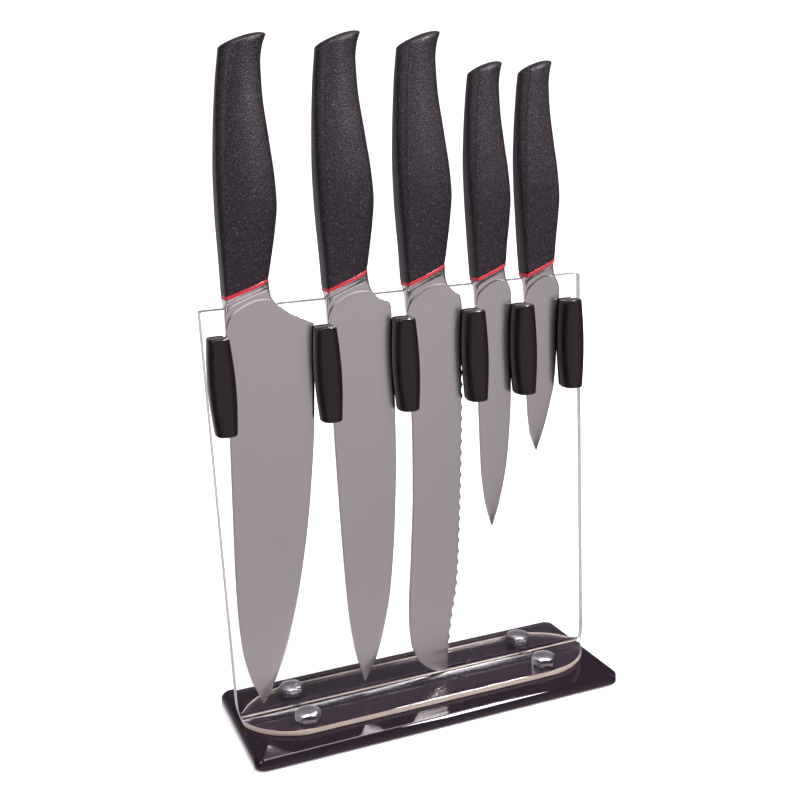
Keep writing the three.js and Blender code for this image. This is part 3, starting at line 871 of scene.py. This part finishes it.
def outline_at(points, z):
    """x on an outline at height z: smooth between its points, without overshoot."""
    last = len(points) - 1
    if z <= points[0][1]:
        return points[0][0]
    if z >= points[last][1]:
        return points[last][0]
    i = next(k for k in range(last) if z <= points[k + 1][1])

    def slope(k):
        return (points[k + 1][0] - points[k][0]) / (points[k + 1][1] - points[k][1])

    def tangent(k):
        if k == 0:
            return slope(0)
        if k == last:
            return slope(last - 1)
        before, after = slope(k - 1), slope(k)
        return 0 if before * after <= 0 else 2 * before * after / (before + after)

    span = points[i + 1][1] - points[i][1]
    t = (z - points[i][1]) / span
    m0, m1 = tangent(i) * span, tangent(i + 1) * span
    return (
        (2 * t ** 3 - 3 * t ** 2 + 1) * points[i][0] + (t ** 3 - 2 * t ** 2 + t) * m0
        + (3 * t ** 2 - 2 * t ** 3) * points[i + 1][0] + (t ** 3 - t ** 2) * m1
    )


def placed(knife, point):
    """A point of a knife in the stand's frame."""
    x, y, z = point
    angle = math.radians(knife["tilt"])
    return (
        knife["place"][0] + x * math.cos(angle) + z * math.sin(angle),
        BLADE_Y + y,
        knife["place"][1] - x * math.sin(angle) + z * math.cos(angle),
    )


def mix(a, b, t):
    return a + (b - a) * t


def edge_at(knife, z):
    x = outline_at(knife["edge"], z)
    scallop = knife.get("scallop")
    if not scallop or not scallop["from"] < z < scallop["to"]:
        return x
    phase = (z - scallop["from"]) / scallop["pitch"] * math.pi
    return x - scallop["depth"] * abs(math.sin(phase))


COLUMNS = 28                        # columns across one face of a blade
GRIND = 24                          # column where the edge bevel starts
BEVEL_WIDTH = 1.1
BEHIND_EDGE = 0.17                  # share of the spine's thickness left where the bevel starts


def blade_share(k, width):
    """Fraction of the way across a blade at column k: fine at the spine, then up to the bevel."""
    start = 1 - min(BEVEL_WIDTH / max(width, 0.01), 0.35)
    if k <= GRIND:
        return start * (1 - math.cos(math.pi * k / GRIND)) / 2
    return mix(start, 1, (k - GRIND) / (COLUMNS - GRIND))


def blade_half(knife, k, width):
    half = min(knife["thickness"] / 2, width * 0.3 + 0.05)
    if k == 0:
        return half * 0.8
    u = blade_share(k, width)
    start = blade_share(GRIND, width)
    if k <= GRIND:
        return half * mix(1, BEHIND_EDGE, (u / start) ** 1.3)
    return half * BEHIND_EDGE * (1 - (u - start) / (1 - start))


RIDGE_CRISPNESS = 45                # how sharply the facet of a handle meets its body


def section(t):
    """The handle's section as (share across, share of the half thickness), from the spine side.

    At t = 0 it is the squarish section at the ring; at t = 1, by the butt, a facet runs from a narrow
    spine to a soft ridge. The last point is on the middle plane.
    """
    spine = mix(0.78, 0.34, t)
    ridge = mix(0.05, 0.25, t)
    power = mix(3.0, 2.2, t)

    def share(u):
        facet = spine + (1.02 - spine) * u / ridge
        v = max(0, (u - ridge) / (1 - ridge))
        body = mix(0.96, 0.9, t) + mix(0.04, 0.1, t) * math.sin(math.pi / 2 * min(1, v * 2.2))
        body *= (1 - v ** power) ** (1 / power)
        low, high = min(facet, body), max(facet, body)
        return low - math.log(1 + math.exp((low - high) * RIDGE_CRISPNESS)) / RIDGE_CRISPNESS

    corner = [(0, spine * 0.8), (0.008, spine * 0.93)]
    facet = [ridge * v for v in (0.3, 0.55, 0.8, 0.92, 1, 1.08, 1.2)]
    rest = COLUMNS + 1 - len(corner) - len(facet)
    start = facet[-1]
    body = [mix(start, 1, math.sin(math.pi / 2 * i / rest)) for i in range(1, rest + 1)]
    points = corner + [(u, share(u)) for u in facet + body]
    points[-1] = (1, 0)
    return points


def knife_ring(front):
    """A closed ring from a list of (x, half thickness, z) columns; the last column is one point."""
    ring = [(x, -half, z) for x, half, z in front[:-1]]
    x, half, z = front[-1]
    ring.append((x, 0, z))
    ring += [(x, half, z) for x, half, z in reversed(front[:-1])]
    return ring


def blade_heights(knife, top):
    tip = knife["edge"][0][1]
    steps = 70
    heights = [tip + (top - tip) * (i / steps) ** 1.7 for i in range(steps)]
    scallop = knife.get("scallop")
    if scallop:
        part = scallop["pitch"] / 8
        count = int((scallop["to"] - scallop["from"]) / part)
        heights = [z for z in heights if z < scallop["from"]]
        heights += [scallop["from"] + part * i for i in range(count + 1)]
    return [z for z in heights if z < top - 0.4]


PLUNGE_ARCH = 2.9                   # how far the plunge line bows up
SPINE_DROP, SPINE_SHARE = 2.3, 0.05  # and, times that, how far it drops right at the spine
FILLET_SHARE = 0.3                  # share of the bolster's height taken by the fillet at the blade
FILLET_SWELL = 0.12                 # share of the bolster's thickness reached by that fillet


def build_blade(knife, materials):
    """Ground blade, heel and bolster in one piece, in sections from the tip up to the red ring."""
    name = knife["name"]
    handle = knife["handle"]
    slant_from = knife["slant_from"]
    plunge_left, plunge_right = knife["plunge"]
    rings, kinds = [], []

    def add_ring(columns, kind):
        rings.append([placed(knife, p) for p in knife_ring(columns)])
        kinds.append(kind)

    for z in blade_heights(knife, slant_from):
        left, right = outline_at(knife["spine"], z), edge_at(knife, z)
        width = right - left
        add_ring([
            (mix(left, right, blade_share(k, width)), blade_half(knife, k, width), z)
            for k in range(COLUMNS + 1)
        ], "blade")

    top = section(0)

    def across(left_z, right_z, arch, turned, swell, full):
        """A section that climbs from left_z to right_z, its middle lifted by the arch."""
        left, right = outline_at(knife["spine"], left_z), edge_at(knife, right_z)
        width = right - left
        columns = []
        for k, (share, thickness) in enumerate(top):
            u = mix(blade_share(k, width), share, turned)
            half = mix(blade_half(knife, k, width), full * thickness, swell)
            lift = arch * (math.sin(math.pi * u ** 1.2) - SPINE_DROP * math.exp(-u / SPINE_SHARE))
            columns.append((mix(left, right, u), half, mix(left_z, right_z, u) + lift))
        return columns

    heel_steps = 26
    for i in range(heel_steps):
        t = i / heel_steps
        right_z = mix(slant_from, plunge_right, t)
        add_ring(across(
            mix(slant_from, plunge_left, t), right_z, PLUNGE_ARCH * t ** 2, t * 0.6, 0, 0,
        ), "heel" if right_z > knife["heel"] else "blade")
    bottom_left = handle["spine_side"][0][1] - RING_HEIGHT - SEAM
    bottom_right = handle["edge_side"][0][1] - RING_HEIGHT - SEAM
    full = handle["half_thickness"][0] - 0.3
    flare = handle["flare"]
    bolster_steps = 26
    for i in range(bolster_steps + 1):
        t = (i / bolster_steps) ** 1.5
        fillet = FILLET_SWELL * (1 - (1 - min(1, t / FILLET_SHARE)) ** 2)
        swell = fillet + (1 - FILLET_SWELL) * t ** flare * (flare + 1 - flare * t)
        add_ring(across(
            mix(plunge_left, bottom_left, t), mix(plunge_right, bottom_right, t),
            PLUNGE_ARCH * (1 - t) ** 1.4, mix(0.6, 1, min(1, t * 2)), swell, full,
        ), "bolster")
    mesh = mesh_from_rings(f"{name}_blade_ground", rings)
    paint_blade(mesh, kinds)
    piece(
        f"{name}_blade_ground", mesh,
        [materials["satin_steel"], materials["edge_steel"], materials["polished_steel"]],
        f"{name}_knife", "steel", f"{name}_blade",
    )


def paint_blade(mesh, kinds):
    """Faces of the bolster are polished, those of the edge bevel ground, and the rest satin."""
    points = 2 * COLUMNS + 1
    for face in mesh.polygons:
        rows = [v // points for v in face.vertices]
        columns = [min(v % points, 2 * COLUMNS - v % points) for v in face.vertices]
        kind = kinds[min(min(rows), len(kinds) - 1)]
        if kind == "bolster":
            face.material_index = 2
        elif kind == "blade" and min(columns) >= GRIND:
            face.material_index = 1


def handle_section(knife, t):
    """Points round the handle at the share t of its length, on the slant of its two ends."""
    handle = knife["handle"]
    spine_side, edge_side = handle["spine_side"], handle["edge_side"]
    left_z = mix(spine_side[0][1], spine_side[-1][1], t)
    right_z = mix(edge_side[0][1], edge_side[-1][1], t)
    left, right = outline_at(spine_side, left_z), outline_at(edge_side, right_z)
    halves = handle["half_thickness"]
    half = outline_at([(h, i / (len(halves) - 1)) for i, h in enumerate(halves)], t)
    return [Vector(p) for p in knife_ring([
        (mix(left, right, u), half * share, mix(left_z, right_z, u)) for u, share in section(t)
    ])]


def centre(ring):
    return sum(ring, Vector()) / len(ring)


def scaled(ring, middle, scale, shift):
    return [middle + (p - middle) * scale + Vector(shift) for p in ring]


def build_ring(knife, material):
    seat = handle_section(knife, 0)
    middle = centre(seat)
    levels = [(-SEAM - RING_HEIGHT, 0.975), (-SEAM - RING_HEIGHT + 0.15, 0.992),
              (-SEAM - 0.15, 0.992), (-SEAM + 0.18, 0.97)]
    rings = [
        [placed(knife, p) for p in scaled(seat, middle, scale, (0, 0, drop))]
        for drop, scale in levels
    ]
    name = knife["name"]
    mesh = mesh_from_rings(f"{name}_ring_red", rings)
    piece(f"{name}_ring_red", mesh, [material], f"{name}_knife", "ring", f"{name}_ring")


BUTT_CROWN = 2.4


def build_handle(knife, material):
    """The grip from its lower rim up to the slanted, crowned butt."""
    name = knife["name"]
    levels = 72
    seat = handle_section(knife, 0)
    rings = [
        scaled(seat, centre(seat), 0.965, (0, 0, 0)),
        scaled(seat, centre(seat), 0.99, (0, 0, 0.15)),
    ]
    rings += [handle_section(knife, i / levels) for i in range(1, levels + 1)]
    butt = rings[-1]
    for scale in (0.985, 0.955, 0.9, 0.82, 0.7, 0.55, 0.38, 0.2, 0.05):
        lift = BUTT_CROWN * math.sqrt(1 - scale ** 2)
        rings.append(scaled(butt, centre(butt), scale, (-0.3 * lift, 0, lift)))
    mesh = mesh_from_rings(f"{name}_handle_grip", [[placed(knife, p) for p in ring] for ring in rings])
    piece(f"{name}_handle_grip", mesh, [material], f"{name}_knife", "handle", f"{name}_handle")


# ---------------------------------------------------------------- the scene

def build():
    makers = (satin_steel, edge_steel, polished_steel, handle_plastic, red_plastic, bar_plastic,
              base_acrylic, clear_acrylic, end_edge_painted_light, flange_edge_painted_light, arris_painted_shade, chrome, brass, rubber, nickel)
    materials = {maker.__name__: maker() for maker in makers}
    build_base(materials["base_acrylic"])
    for corner in CORNERS:
        build_bolt(corner, materials["chrome"])
    build_sheet(-1, "front_panel", materials)
    build_sheet(1, "rear_panel", materials)
    for number in range(1, 7):
        build_bar(number, materials["bar_plastic"])
    for knife in KNIVES:
        build_blade(knife, materials)
        build_ring(knife, materials["red_plastic"])
        build_handle(knife, materials["handle_plastic"])
    dress_hardware(materials)


bpy.context.scene.view_settings.view_transform = "Standard"
add_camera()
add_world()
add_floor()
add_backdrop()
for softbox in SOFTBOXES:
    add_softbox(*softbox)
build()
